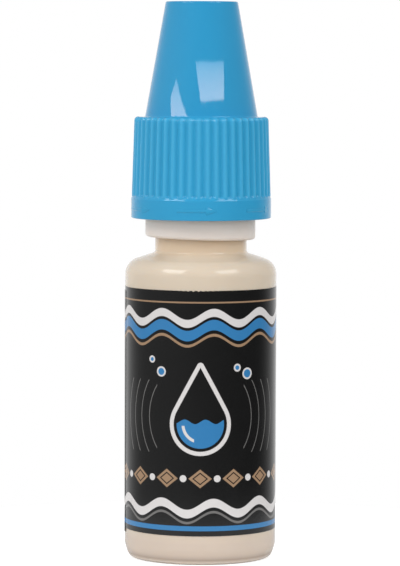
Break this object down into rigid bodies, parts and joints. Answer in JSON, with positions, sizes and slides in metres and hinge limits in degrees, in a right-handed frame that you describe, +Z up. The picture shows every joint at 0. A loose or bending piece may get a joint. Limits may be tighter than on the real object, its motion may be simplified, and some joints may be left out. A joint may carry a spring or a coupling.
{
  "type": "chain lube bottle",
  "caption": "Small round dropper squeeze bottle for chain lube, with a wrap label, a nozzle plug and a ribbed press-and-turn cone cap over a tamper band.",
  "frame": {"origin": "centre of the base on the surface that the bottle stands on", "axes": "+Z up along the bottle's axis, -Y towards the front of the label"},
  "size_m": [0.0223, 0.0222, 0.0809],
  "materials": {
    "bottle_plastic": "satin cream polyethylene",
    "label_film": "satin printed film",
    "plug_plastic": "satin natural polyethylene",
    "natural_plastic": "satin natural polypropylene",
    "cap_plastic": "gloss blue polypropylene"
  },
  "bodies": {
    "bottle": {"bottle": "bottle_plastic", "label": "label_film", "dropper_plug": "plug_plastic"},
    "tamper_band": {"tamper_band": "natural_plastic"},
    "inner_cap": {"inner_cap": "natural_plastic"},
    "outer_cap": {"outer_cap": "cap_plastic"}
  },
  "joints": [
    {"name": "cap_turn", "type": "hinge", "parent": "bottle", "child": "tamper_band", "pos_m": [0, 0, 0.0482], "axis": [0, 0, 1], "range_deg": [0, 360]},
    {"name": "cap_lift", "type": "slide", "parent": "tamper_band", "child": "inner_cap", "axis": [0, 0, 1], "range_m": [0, 0.03]},
    {"name": "cap_press", "type": "slide", "parent": "inner_cap", "child": "outer_cap", "axis": [0, 0, -1], "range_m": [0, 0.001], "stiffness_N_per_m": 8000}
  ]
}
